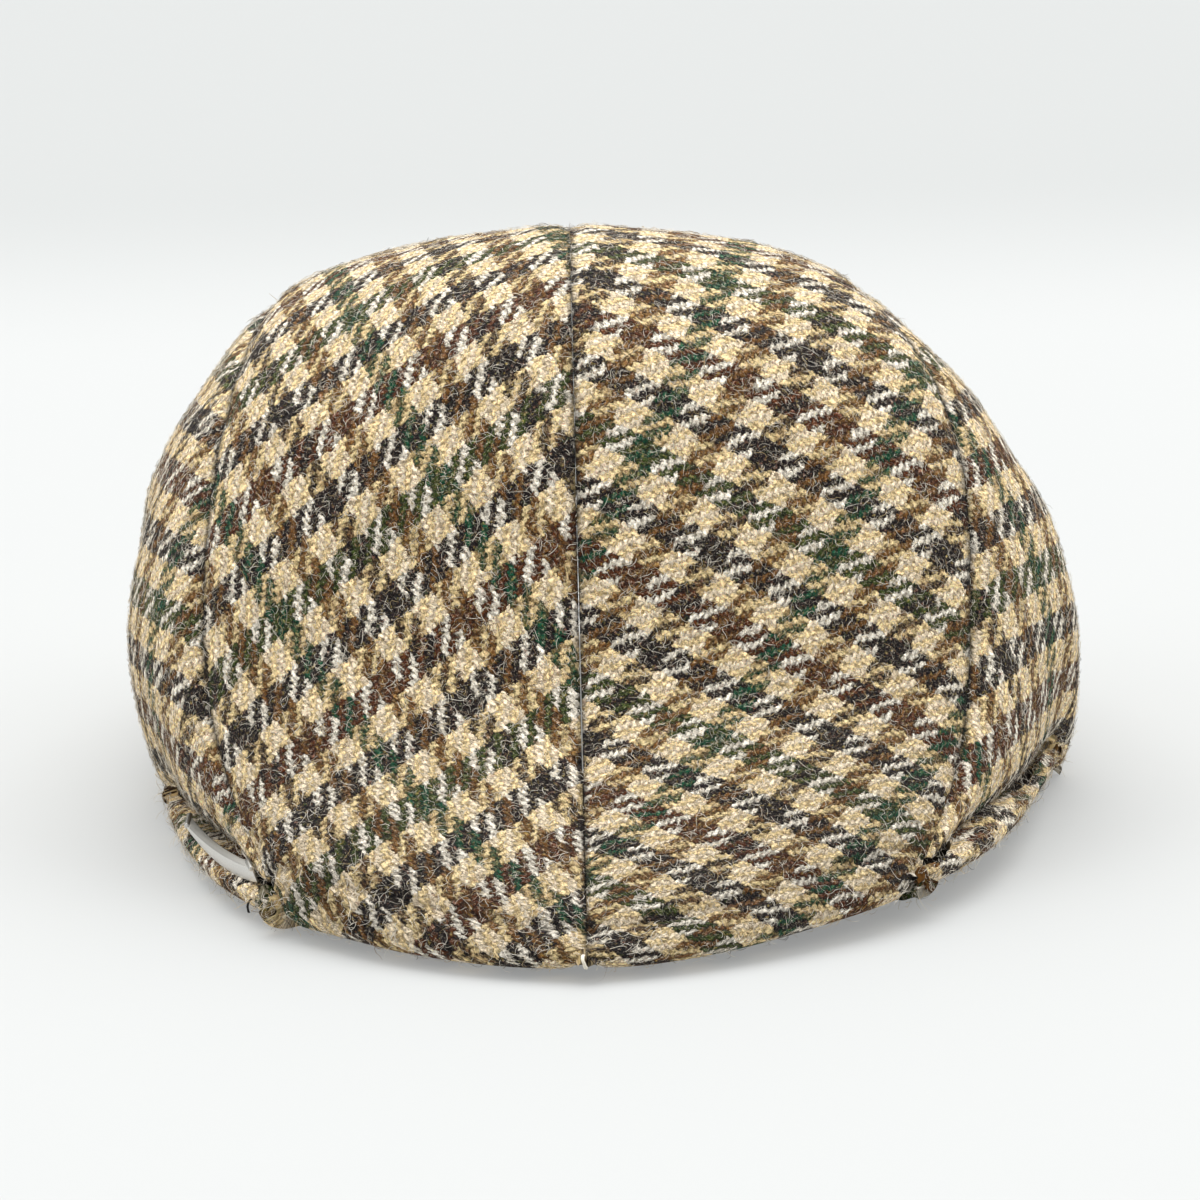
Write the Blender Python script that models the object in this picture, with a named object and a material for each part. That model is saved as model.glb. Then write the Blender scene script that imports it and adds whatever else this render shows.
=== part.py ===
"""A duckbill cap of checked wool cloth, resting on its hem, with its peak toward -Y.

Four cloth panels meet at a centre seam and two side seams, all of which run from front to
back. The two top panels run on over the peak to its very edge. Outside the side seams the
side panels hang over a groove, and a strip of cloth covers the rest of the peak's edge.
Lengths are in metres, +Z is up, and the origin is at the middle of the base.
"""
from collections import namedtuple
import math

import bmesh
import bpy
import numpy as np

# Main sizes
CROWN_HEIGHT = 0.1140
LEFT_HALF_WIDTH = 0.0985
RIGHT_HALF_WIDTH = 0.1065
BODY_LENGTH = 0.205
PEAK_REACH = 0.057
PEAK_TWIST = 0.004
TWIST_END = 4.0

# Walls and clearances
CLOTH = 0.0018
PEAK_BOARD = 0.0020
SEAM_GAP = 0.0003

# The strip along the peak's edge, outside the side seams
LEFT_STRIP_WIDTH = 0.0075
RIGHT_STRIP_WIDTH = 0.0050
STRIP_CLEARANCE = 0.0008
STRIP_RISE = 0.0035
STRIP_END = 4.2
STRIP_TAPER = 0.16
STRIP_GAP = 0.0006
STRIP_SWELL = 0.35
EDGE_FALL = 0.70

# The bare metal plate in the left groove
PLATE_LENGTH = 0.027
PLATE_FACE = 0.0042
PLATE_FLANGE = 0.0024
PLATE_THICKNESS = 0.0008
PLATE_GAP = 0.00045
PLATE_INSET = 0.03
PLATE_LIMIT = 0.97

# How fully the cloth spans from seam to seam, and how far the sides tuck in at the hem
TOP_FULLNESS = 0.80
LEFT_FULLNESS = 1.12
RIGHT_FULLNESS = 1.05
TUCK = math.radians(48)
CENTRE_RIDGE = 0.08

# Where along the sections the side panels and the plate begin, where the hem meets the floor,
# and where the strip starts beside the seam's foot
SIDE_START = 1.0 / 3.0
PLATE_START = 0.42
FLOOR_FROM = 6.0
FOOT_PLACE = 0.8 * SIDE_START
FOOT_SHARE = 0.03

# The board's slope at its front edge, its rise to the head opening, and its ends
BOARD_TILT = math.radians(28)
BOARD_RISE = 0.019
BOARD_END_RISE = 0.0005
BOARD_END_WIDTH = 0.006
BOARD_GAP = 0.00045

# Mesh density
ROWS_PER_SECTION = 3
TOP_COLUMNS = 8
SIDE_COLUMNS = 9
STRIP_COLUMNS = 3
BOARD_COLUMNS = 5
PLATE_CELLS = 10
PLATE_SAMPLES = 60
SHARP_ANGLE = math.radians(40)

# Colours and roughness
CHECK_COLOUR = (0.36, 0.27, 0.17)
SIDE_COLOUR = (0.33, 0.25, 0.16)
STRIP_COLOUR = (0.30, 0.22, 0.14)
UNDER_COLOUR = (0.16, 0.12, 0.09)
STEEL_COLOUR = (0.62, 0.62, 0.61)
CLOTH_ROUGHNESS = 0.95
STEEL_ROUGHNESS = 0.35

# One row for each section of the crown, from the peak's edge over the top to the rear hem.
# along is a share of the peak's reach ahead of the head opening when negative, and of the
# body's length behind it when positive. Heights are shares of the crown's height, and left
# and right are shares of the half widths. turn is how far the top panel bends towards the
# side panel at the seam, and droop is how strongly the side panel falls to its lower edge.
Section = namedtuple(
    "Section",
    "centre_along centre_height seam_along seam_height seam_left seam_right "
    "hem_along hem_height hem_left hem_right turn droop",
)
SECTIONS = (
    Section(-1.000, 0.047, -0.456, 0.051, 0.59, 0.59, -0.330, 0.05, 0.66, 0.65, 0.75, 0.0),
    Section(-0.544, 0.166, -0.150, 0.140, 0.67, 0.66, -0.080, 0.07, 0.74, 0.73, 0.50, 0.5),
    Section(-0.140, 0.277, 0.044, 0.255, 0.73, 0.71, 0.070, 0.06, 0.82, 0.80, 0.38, 0.9),
    Section(0.039, 0.417, 0.107, 0.380, 0.76, 0.73, 0.140, 0.05, 0.87, 0.86, 0.38, 1.1),
    Section(0.112, 0.604, 0.171, 0.530, 0.76, 0.74, 0.205, 0.03, 0.88, 0.88, 0.38, 1.2),
    Section(0.205, 0.804, 0.249, 0.680, 0.74, 0.73, 0.325, 0.01, 0.885, 0.94, 0.42, 1.2),
    Section(0.322, 0.945, 0.351, 0.808, 0.70, 0.67, 0.395, 0.00, 0.89, 0.94, 0.46, 1.2),
    Section(0.468, 1.000, 0.473, 0.862, 0.66, 0.595, 0.480, 0.00, 0.90, 0.92, 0.46, 1.2),
    Section(0.634, 0.953, 0.624, 0.832, 0.63, 0.57, 0.585, 0.00, 0.88, 0.89, 0.46, 1.2),
    Section(0.800, 0.774, 0.771, 0.670, 0.61, 0.56, 0.683, 0.00, 0.85, 0.84, 0.42, 1.2),
    Section(0.927, 0.528, 0.873, 0.455, 0.60, 0.56, 0.780, 0.00, 0.79, 0.77, 0.40, 1.2),
    Section(0.995, 0.272, 0.927, 0.245, 0.59, 0.56, 0.850, 0.00, 0.71, 0.69, 0.42, 1.0),
    Section(0.995, 0.077, 0.925, 0.075, 0.57, 0.55, 0.885, 0.00, 0.64, 0.61, 0.55, 0.5),
    Section(0.966, 0.000, 0.905, 0.000, 0.55, 0.53, 0.892, 0.00, 0.59, 0.56, 0.75, 0.0),
)

# The peak's edge outside the side seams, one row for each of the first sections.
EdgePoint = namedtuple(
    "EdgePoint", "along_left along_right left right height_left height_right"
)
PEAK_EDGE = (
    EdgePoint(-0.456, -0.456, 0.585, 0.590, 0.051, 0.051),
    EdgePoint(-0.090, -0.085, 0.722, 0.735, 0.049, 0.058),
    EdgePoint(0.082, 0.092, 0.802, 0.828, 0.048, 0.066),
    EdgePoint(0.175, 0.192, 0.846, 0.888, 0.047, 0.074),
    EdgePoint(0.255, 0.283, 0.872, 0.928, 0.047, 0.080),
    EdgePoint(0.325, 0.350, 0.880, 0.945, 0.046, 0.080),
)

LAST = len(SECTIONS) - 1
SIDES = {"left": -1.0, "right": 1.0}


def unit(vectors):
    """Vectors of length one, along the last axis."""
    return vectors / np.linalg.norm(vectors, axis=-1, keepdims=True)


def spline(rows, places):
    """A smooth curve through rows that stand at 0, 1, 2 and so on, read at the places."""
    rows = np.asarray(rows, dtype=float)
    count = len(rows)
    matrix = np.eye(count)
    bends = np.zeros_like(rows)
    for i in range(1, count - 1):
        matrix[i, i - 1:i + 2] = (1.0, 4.0, 1.0)
        bends[i] = 6.0 * (rows[i - 1] - 2.0 * rows[i] + rows[i + 1])
    bends = np.linalg.solve(matrix, bends)
    low = np.clip(np.floor(places).astype(int), 0, count - 2)
    b = (places - low)[:, None]
    a = 1.0 - b
    return (a * rows[low] + b * rows[low + 1]
            + ((a ** 3 - a) * bends[low] + (b ** 3 - b) * bends[low + 1]) / 6.0)


def bowed(start, start_way, end, end_way, fullness, shares):
    """Curves from start to end, one for each row, leaving and arriving along given ways."""
    reach = np.linalg.norm(end - start, axis=-1, keepdims=True) * fullness
    s = shares[None, :, None]
    start, end = start[:, None], end[:, None]
    leave, arrive = (start_way * reach)[:, None], (end_way * reach)[:, None]
    return ((2 * s ** 3 - 3 * s ** 2 + 1) * start + (s ** 3 - 2 * s ** 2 + s) * leave
            + (3 * s ** 2 - 2 * s ** 3) * end + (s ** 3 - s ** 2) * arrive)


def lengthwise(along):
    """Distance behind the front of the head opening."""
    return along * (PEAK_REACH if along < 0 else BODY_LENGTH)


def half_width(side):
    return LEFT_HALF_WIDTH if side < 0 else RIGHT_HALF_WIDTH


def twist(points, first):
    """Raises the peak on the right, less and less toward the last twisted section.

    The points' x, y and z stand in three columns, of which first is the first.
    """
    fade = np.clip(1.0 - np.arange(len(points)) / TWIST_END, 0.0, 1.0)
    share = np.maximum(points[:, first], 0.0) / RIGHT_HALF_WIDTH
    points[:, first + 2] += PEAK_TWIST * fade * share


def section_points(side):
    """Centre seam, side seam and lower edge at every section, on one side."""
    rows = []
    for row in SECTIONS:
        seam_share = row.seam_left if side < 0 else row.seam_right
        hem_share = row.hem_left if side < 0 else row.hem_right
        rows.append((
            0.0, lengthwise(row.centre_along), row.centre_height * CROWN_HEIGHT,
            side * seam_share * half_width(side), lengthwise(row.seam_along),
            row.seam_height * CROWN_HEIGHT,
            side * hem_share * half_width(side), lengthwise(row.hem_along),
            row.hem_height * CROWN_HEIGHT,
            row.turn, row.droop,
        ))
    rows = np.array(rows)
    twist(rows, 3)
    return rows


def edge_points(side):
    """The peak's edge outside one side seam, at the first sections."""
    rows = []
    for row in PEAK_EDGE:
        share = row.left if side < 0 else row.right
        along = row.along_left if side < 0 else row.along_right
        height = row.height_left if side < 0 else row.height_right
        rows.append((side * share * half_width(side), lengthwise(along), height * CROWN_HEIGHT))
    rows = np.array(rows)
    twist(rows, 0)
    rows[0] = section_points(side)[0, 3:6]
    return rows


def outwards(curve, side):
    """Level directions that point away from the head along a lower edge."""
    run = np.gradient(curve, axis=0)
    across = np.stack((run[:, 1], -run[:, 0], np.zeros(len(run))), axis=1)
    return unit(across) * side


def groove_points(side):
    """Section points whose lower edge follows the groove beside the strip."""
    points = section_points(side)
    edge = edge_points(side)
    width = LEFT_STRIP_WIDTH if side < 0 else RIGHT_STRIP_WIDTH
    out = outwards(edge, side)
    for i in range(int(STRIP_END) + 1):
        taper = 1.0 - STRIP_TAPER * i
        inward = out[i] * width * taper
        points[i, 6:9] = edge[i] - inward + np.array((0.0, 0.0, STRIP_RISE * taper))
    points[0, 6:9] = edge[0] + (edge[1] - edge[0]) * FOOT_SHARE
    return points


def side_surface(side, places):
    """The cloth's outer surface on one side: centre to seam to lower edge, row by row."""
    guide = spline(groove_points(side), places)
    centre, seam, hem = guide[:, 0:3], guide[:, 3:6], guide[:, 6:9]
    hem[:, 2] = np.maximum(hem[:, 2], 0.0)
    turn, droop = guide[:, 9:10], guide[:, 10:11]
    to_seam, to_hem = unit(seam - centre), unit(hem - seam)
    centre_way = unit(np.array([[side, 0.0, -CENTRE_RIDGE]]).repeat(len(places), axis=0))
    seam_way = unit((1.0 - turn) * to_seam + turn * to_hem)
    falling = -outwards(hem, side) * math.sin(TUCK)
    falling[:, 2] = -math.cos(TUCK)
    hem_way = unit(to_hem + droop * falling)
    top = bowed(centre, centre_way, seam, seam_way, TOP_FULLNESS,
                np.linspace(0.0, 1.0, TOP_COLUMNS + 1))
    fullness = LEFT_FULLNESS if side < 0 else RIGHT_FULLNESS
    flank = bowed(seam, seam_way, hem, hem_way, fullness,
                  np.linspace(0.0, 1.0, SIDE_COLUMNS + 1))
    return np.concatenate((top, flank[:, 1:]), axis=1)


def normals(grid):
    """Directions that point out of a grid whose rows run back and whose columns run right."""
    return unit(np.cross(np.gradient(grid, axis=1), np.gradient(grid, axis=0)))


def settle(grid, places):
    """Rests the rear hem and the side hems on the floor."""
    grid[-1, :, 2] = 0.0
    resting = places >= FLOOR_FROM
    grid[resting, 0, 2] = 0.0
    grid[resting, -1, 2] = 0.0
    return grid


def whole_surface(places):
    """The cloth's outer and inner surfaces from the left hem over the top to the right hem."""
    left = side_surface(SIDES["left"], places)[:, ::-1]
    right = side_surface(SIDES["right"], places)
    outer = settle(np.concatenate((left, right[:, 1:]), axis=1), places)
    inner = outer - normals(outer) * CLOTH
    inner[:, 0, 2] = outer[:, 0, 2]
    inner[:, -1, 2] = outer[:, -1, 2]
    inner[-1, :, 2] = 0.0
    return outer, inner


def peak_places():
    """Places along the sections for the rows of the strips and the board."""
    return np.linspace(0.0, STRIP_END, int(STRIP_END * ROWS_PER_SECTION) + 1)


def strip_surface(side):
    """The strip's outer surface, from the groove to the peak's edge, row by row."""
    places = peak_places()
    edge = spline(edge_points(side), places)
    guide = spline(groove_points(side), np.maximum(places, SIDE_START))
    groove = guide[:, 6:9] + outwards(edge, side) * STRIP_GAP
    seam_foot = spline(groove_points(side), np.array((FOOT_PLACE,)))[:, 3:6]
    share = np.clip(places / SIDE_START, 0.0, 1.0)[:, None]
    start = seam_foot * (1.0 - share) + groove * share
    away = unit(edge - start)
    upwards = np.array(((0.0, 0.0, 1.0),)) * share
    leaving, arriving = unit(away + upwards * STRIP_SWELL), unit(away - upwards * EDGE_FALL)
    return bowed(start, leaving, edge, arriving, 1.0, np.linspace(0.0, 1.0, STRIP_COLUMNS + 1))


def clear_of_seam(grid, column, toward):
    """Moves one column by half the seam gap toward the column beside it."""
    way = unit(grid[:, column + toward] - grid[:, column])
    grid[:, column] += way * SEAM_GAP / 2.0


def wall(name, outer, inner, material):
    """One closed piece between an outer and an inner grid of points."""
    rows, columns = outer.shape[:2]
    model = bmesh.new()
    skins = []
    for grid in (outer, inner):
        skins.append([[model.verts.new(point + PLACE) for point in row] for row in grid])
    for skin in skins:
        for i in range(rows - 1):
            for j in range(columns - 1):
                model.faces.new((skin[i][j], skin[i][j + 1], skin[i + 1][j + 1], skin[i + 1][j]))
    rims = [
        [(i, 0) for i in range(rows)],
        [(i, columns - 1) for i in range(rows)],
        [(0, j) for j in range(columns)],
        [(rows - 1, j) for j in range(columns)],
    ]
    for rim in rims:
        for (i, j), (m, n) in zip(rim, rim[1:]):
            model.faces.new((skins[0][i][j], skins[0][m][n], skins[1][m][n], skins[1][i][j]))
    bmesh.ops.recalc_face_normals(model, faces=model.faces)
    return finish(name, model, material)


def finish(name, model, material):
    """Makes the modelled piece an object of the cap's collection."""
    mesh = bpy.data.meshes.new(name)
    model.to_mesh(mesh)
    model.free()
    mesh.shade_smooth()
    mesh.set_sharp_from_angle(angle=SHARP_ANGLE)
    mesh.materials.append(material)
    piece = bpy.data.objects.new(name, mesh)
    CAP.objects.link(piece)
    return piece


def finish_material(name, colour, roughness, metallic=0.0):
    material = bpy.data.materials.new(name)
    material.use_nodes = True
    shader = material.node_tree.nodes["Principled BSDF"]
    shader.inputs["Base Color"].default_value = (*colour, 1.0)
    shader.inputs["Roughness"].default_value = roughness
    shader.inputs["Metallic"].default_value = metallic
    return material


def top_panel(side_name, outer, inner):
    """From the centre seam to a side seam, and from the peak's edge to the rear hem."""
    middle = TOP_COLUMNS + SIDE_COLUMNS
    low = middle if side_name == "right" else SIDE_COLUMNS
    pair = [grid[:, low:low + TOP_COLUMNS + 1].copy() for grid in (outer, inner)]
    for grid in pair:
        clear_of_seam(grid, 0, 1)
        clear_of_seam(grid, -1, -1)
    wool = finish_material("wool_check_" + side_name, CHECK_COLOUR, CLOTH_ROUGHNESS)
    wall("top_panel_" + side_name, pair[0], pair[1], wool)


def side_panel(side_name, outer, inner, places):
    """From a side seam down to the hem, and from the peak's groove to the rear."""
    start = int(round(SIDE_START * ROWS_PER_SECTION))
    columns = slice(-SIDE_COLUMNS - 1, None) if side_name == "right" else slice(0, SIDE_COLUMNS + 1)
    pair = [grid[start:, columns].copy() for grid in (outer, inner)]
    for grid in pair:
        if side_name == "right":
            clear_of_seam(grid, 0, 1)
        else:
            clear_of_seam(grid, -1, -1)
    wool = finish_material("wool_check_side_" + side_name, SIDE_COLOUR, CLOTH_ROUGHNESS)
    wall("side_panel_" + side_name, pair[0], pair[1], wool)


def edge_strip(side_name):
    """Cloth over the peak's edge outside a side seam."""
    side = SIDES[side_name]
    outer = strip_surface(side)
    ways = normals(outer) * side
    inner = outer - ways * CLOTH
    for grid in (outer, inner):
        grid[0] += unit(grid[1] - grid[0]) * STRIP_CLEARANCE
    wool = finish_material("wool_strip_" + side_name, STRIP_COLOUR, CLOTH_ROUGHNESS)
    wall("edge_strip_" + side_name, outer, inner, wool)


def peak_board():
    """The stiff crescent under the cloth, from the peak's edge back to the head opening."""
    places = peak_places()
    edges = []
    for side in SIDES.values():
        front = side_surface(side, places)[0, :TOP_COLUMNS + 1]
        rest = spline(edge_points(side), places[1:])
        edges.append(np.concatenate((front, rest)))
    edge = np.concatenate((edges[0][::-1], edges[1][1:]))
    edge[:, 2] -= CLOTH / math.cos(BOARD_TILT) + BOARD_GAP
    share = edge[:, 0] / np.where(edge[:, 0] < 0, -edge[0, 0], edge[-1, 0])
    depth = edge[:, 1].max() - SEAM_GAP
    brow = edge.copy()
    brow[:, 0] = edge[:, 0] * (1.0 - BOARD_END_WIDTH / np.abs(edge[0, 0]))
    brow[:, 1] = depth * (1.0 - np.sqrt(np.maximum(1.0 - share ** 2, 0.0)))
    brow[:, 2] += BOARD_RISE * (1.0 - share ** 2) + BOARD_END_RISE
    s = np.linspace(0.0, 1.0, BOARD_COLUMNS + 1)[:, None, None]
    upper = edge[None] * (1.0 - s) + brow[None] * s
    lower = upper - normals(upper) * PEAK_BOARD
    cover = finish_material("wool_under_peak", UNDER_COLOUR, CLOTH_ROUGHNESS)
    wall("peak_board", upper, lower, cover)


def groove_plate():
    """A bare bent plate that lies over the left strip, with its flange in the groove."""
    side = SIDES["left"]
    places = np.linspace(PLATE_START, STRIP_END, PLATE_SAMPLES)
    groove = spline(groove_points(side), places)[:, 6:9]
    runs = np.concatenate(((0.0,), np.cumsum(np.linalg.norm(np.diff(groove, axis=0), axis=1))))
    spots = np.interp(np.linspace(0.0, PLATE_LENGTH, PLATE_CELLS + 1), runs, places)
    strip = strip_surface(side)
    strip_places = np.linspace(0.0, STRIP_END, len(strip))
    ways = normals(strip) * side
    across = np.stack([[np.interp(spots, strip_places, strip[:, j, k]) for k in range(3)]
                       for j in range(STRIP_COLUMNS + 1)])
    facing = np.stack([[np.interp(spots, strip_places, ways[:, j, k]) for k in range(3)]
                       for j in range(STRIP_COLUMNS + 1)])
    across, facing = across.transpose(2, 0, 1), facing.transpose(2, 0, 1)
    width = np.linalg.norm(across[:, -1] - across[:, 0], axis=1)
    bend = PLATE_INSET * width + PLATE_FLANGE
    stations = (PLATE_INSET * width, bend, bend + PLATE_FACE)
    lines = np.linspace(0.0, 1.0, STRIP_COLUMNS + 1)
    under = np.zeros((len(spots), len(stations), 3))
    up = np.zeros_like(under)
    for i in range(len(spots)):
        for j, station in enumerate(stations):
            share = min(station[i] / width[i], PLATE_LIMIT)
            for k in range(3):
                under[i, j, k] = np.interp(share, lines, across[i, :, k])
                up[i, j, k] = np.interp(share, lines, facing[i, :, k])
    up = unit(up)
    under = under + up * PLATE_GAP
    over = under + up * PLATE_THICKNESS
    steel = finish_material("brushed_steel", STEEL_COLOUR, STEEL_ROUGHNESS, 1.0)
    wall("groove_plate", over, under, steel)


def overall_place():
    """Moves the model so that the middle of its base is the origin."""
    outer = OUTER.reshape(-1, 3)
    strips = np.concatenate([strip_surface(side).reshape(-1, 3) for side in SIDES.values()])
    points = np.concatenate((outer, strips))
    middle = (points.min(axis=0) + points.max(axis=0)) / 2.0
    return np.array((-middle[0], -middle[1], 0.0))


for leftover in list(bpy.data.objects):
    bpy.data.objects.remove(leftover, do_unlink=True)

CAP = bpy.data.collections.new("houndstooth_cap")
bpy.context.scene.collection.children.link(CAP)

PLACES = np.linspace(0.0, LAST, LAST * ROWS_PER_SECTION + 1)
OUTER, INNER = whole_surface(PLACES)
PLACE = overall_place()

for name in SIDES:
    top_panel(name, OUTER, INNER)
    side_panel(name, OUTER, INNER, PLACES)
    edge_strip(name)
peak_board()
groove_plate()
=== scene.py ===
import math

import bpy
import mathutils.noise
import numpy as np
from mathutils import Matrix, Vector
from mathutils.geometry import convex_hull_2d
from mathutils.kdtree import KDTree


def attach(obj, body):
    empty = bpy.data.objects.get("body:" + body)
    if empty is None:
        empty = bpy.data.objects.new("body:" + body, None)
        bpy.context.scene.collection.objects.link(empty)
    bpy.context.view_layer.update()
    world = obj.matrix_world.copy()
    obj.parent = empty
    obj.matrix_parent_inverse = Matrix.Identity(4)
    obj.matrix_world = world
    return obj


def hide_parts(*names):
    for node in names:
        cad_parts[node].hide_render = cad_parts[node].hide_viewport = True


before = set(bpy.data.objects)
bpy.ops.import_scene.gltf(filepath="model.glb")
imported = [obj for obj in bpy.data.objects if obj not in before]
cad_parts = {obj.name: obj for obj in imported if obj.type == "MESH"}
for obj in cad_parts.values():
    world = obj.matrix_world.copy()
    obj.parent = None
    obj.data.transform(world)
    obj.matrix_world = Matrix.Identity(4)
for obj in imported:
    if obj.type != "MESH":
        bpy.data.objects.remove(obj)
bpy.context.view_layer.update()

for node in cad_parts.values():
    node.select_set(False)


# The wool cloth
# A loose twill of thick woollen yarns: five light and five dark threads in turn, both ways,
# which makes the houndstooth check. The dark stripes change between black, brown and green,
# and the yarns are spun from mixed fibres, so that flecks of other colours show.
END = 0.00109
PICK = 0.00122
BLOCK = 5
WARP_DARKS = ("brown", "black", "brown", "green")
WEFT_DARKS = ("black", "rust", "black", "moss")
YARNS = {
    "white": (0.960, 0.800, 0.580),
    "chalk": (0.930, 0.860, 0.740),
    "cream": (0.950, 0.740, 0.410),
    "ochre": (0.900, 0.720, 0.390),
    "black": (0.012, 0.007, 0.009),
    "brown": (0.165, 0.070, 0.015),
    "green": (0.006, 0.080, 0.038),
    "moss": (0.046, 0.068, 0.012),
    "rust": (0.095, 0.024, 0.005),
}
FLUFF_PALE = (0.66, 0.57, 0.44)
FLUFF_DARK = (0.30, 0.17, 0.07)
FLUFF_OCHRE = (0.50, 0.33, 0.12)
FLECKS = {
    "pink": (0.50, 0.25, 0.17),
    "straw": (0.56, 0.42, 0.12),
    "leaf": (0.09, 0.14, 0.05),
    "ginger": (0.30, 0.12, 0.03),
}


class Wire:
    """A value on its way through a material, so that its maths reads as plain arithmetic."""

    def __init__(self, tree, socket):
        self.tree = tree
        self.socket = socket

    def node(self, kind, settings=None, inputs=None, output=0):
        """A new node of any kind, with its settings set first and its sockets filled next."""
        new = self.tree.nodes.new(kind)
        for key, value in (settings or {}).items():
            if key == "stops":
                ramp = new.color_ramp
                while len(ramp.elements) < len(value):
                    ramp.elements.new(0.5)
                for element, (place, colour) in zip(ramp.elements, value):
                    element.position = place
                    element.color = (*colour, 1.0)
            elif key == "interpolation":
                new.color_ramp.interpolation = value
            else:
                setattr(new, key, value)
        for key, value in (inputs or {}).items():
            if isinstance(value, Wire):
                self.tree.links.new(value.socket, new.inputs[key])
            else:
                new.inputs[key].default_value = value
        return Wire(self.tree, new.outputs[output])

    def maths(self, operation, *values):
        return self.node("ShaderNodeMath", {"operation": operation}, dict(enumerate(values)))

    def __add__(self, other):
        return self.maths("ADD", self, other)

    def __sub__(self, other):
        return self.maths("SUBTRACT", self, other)

    def __rsub__(self, other):
        return self.maths("SUBTRACT", other, self)

    def __mul__(self, other):
        return self.maths("MULTIPLY", self, other)

    def __truediv__(self, other):
        return self.maths("DIVIDE", self, other)

    def __pow__(self, other):
        return self.maths("POWER", self, other)

    def __mod__(self, other):
        return self.maths("FLOORED_MODULO", self, other)

    def __floordiv__(self, other):
        return self.maths("FLOOR", self / other)

    def __lt__(self, other):
        return self.maths("LESS_THAN", self, other)

    def __gt__(self, other):
        return self.maths("GREATER_THAN", self, other)

    def __abs__(self):
        return self.maths("ABSOLUTE", self)

    __radd__ = __add__
    __rmul__ = __mul__

    def vector(self, operation, *values, **sockets):
        """Vector maths on this value and others."""
        inputs = {0: self, **{k + 1: value for k, value in enumerate(values)}, **sockets}
        return self.node("ShaderNodeVectorMath", {"operation": operation}, inputs)

    def part(self, axis):
        """One of the three numbers in a vector."""
        return self.node("ShaderNodeSeparateXYZ", {}, {0: self}, output=axis)

    def largest(self, other):
        return self.maths("MAXIMUM", self, other)

    def between(self, low, high):
        """Runs from 0 to 1 as this value runs from low to high."""
        return self.node("ShaderNodeMapRange", {"interpolation_type": "SMOOTHSTEP"},
                         {"Value": self, "From Min": low, "From Max": high})

    def blend(self, first, second):
        """The first colour where this value is 0, and the second where it is 1."""
        return self.node("ShaderNodeMix", {"data_type": "RGBA"},
                         {"Factor": self, 6: first, 7: second}, output=2)


def coloured(colour):
    return (*colour, 1.0)


def fabric(name, roughness=0.95, sheen=0.06):
    """A new material for soft cloth: its shader, and a wire to build from."""
    material = bpy.data.materials.new(name)
    material.use_nodes = True
    shader = material.node_tree.nodes["Principled BSDF"]
    shader.inputs["Roughness"].default_value = roughness
    shader.inputs["Specular IOR Level"].default_value = 0.10
    shader.inputs["Sheen Weight"].default_value = sheen
    shader.inputs["Sheen Roughness"].default_value = 0.6
    return material, shader, Wire(material.node_tree, None)


def noise(wire, at, scale, detail=2.0, output=0):
    return wire.node("ShaderNodeTexNoise", {"noise_dimensions": "3D"},
                     {"Vector": at, "Scale": scale, "Detail": detail}, output)


def dome(side, run):
    """How high a float stands: round across the yarn, and lower where it dives at its ends."""
    ends = run * 2.0 - 1.0
    return (1.0 - side * side) ** 0.5 * (1.0 - ends ** 4.0)


def striped(wire, place, light, darks):
    """The colour of one yarn: light in every second block, and dark by turns between them."""
    stops = []
    for turn, dark in enumerate(darks):
        stops.append((turn / len(darks), YARNS[light]))
        stops.append(((turn + 0.5) / len(darks), YARNS[dark]))
    return wire.node("ShaderNodeValToRGB", {"stops": stops, "interpolation": "CONSTANT"},
                     {"Fac": (place / (2 * BLOCK * len(darks))) % 1.0})


def curls(wire, at, scale, thin):
    """Thin curly lines, as fine fibres lie: where a soft noise crosses its middle value."""
    away = abs(noise(wire, at, scale, 1.0) - 0.5)
    return away.between(thin, thin * 0.3)


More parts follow.
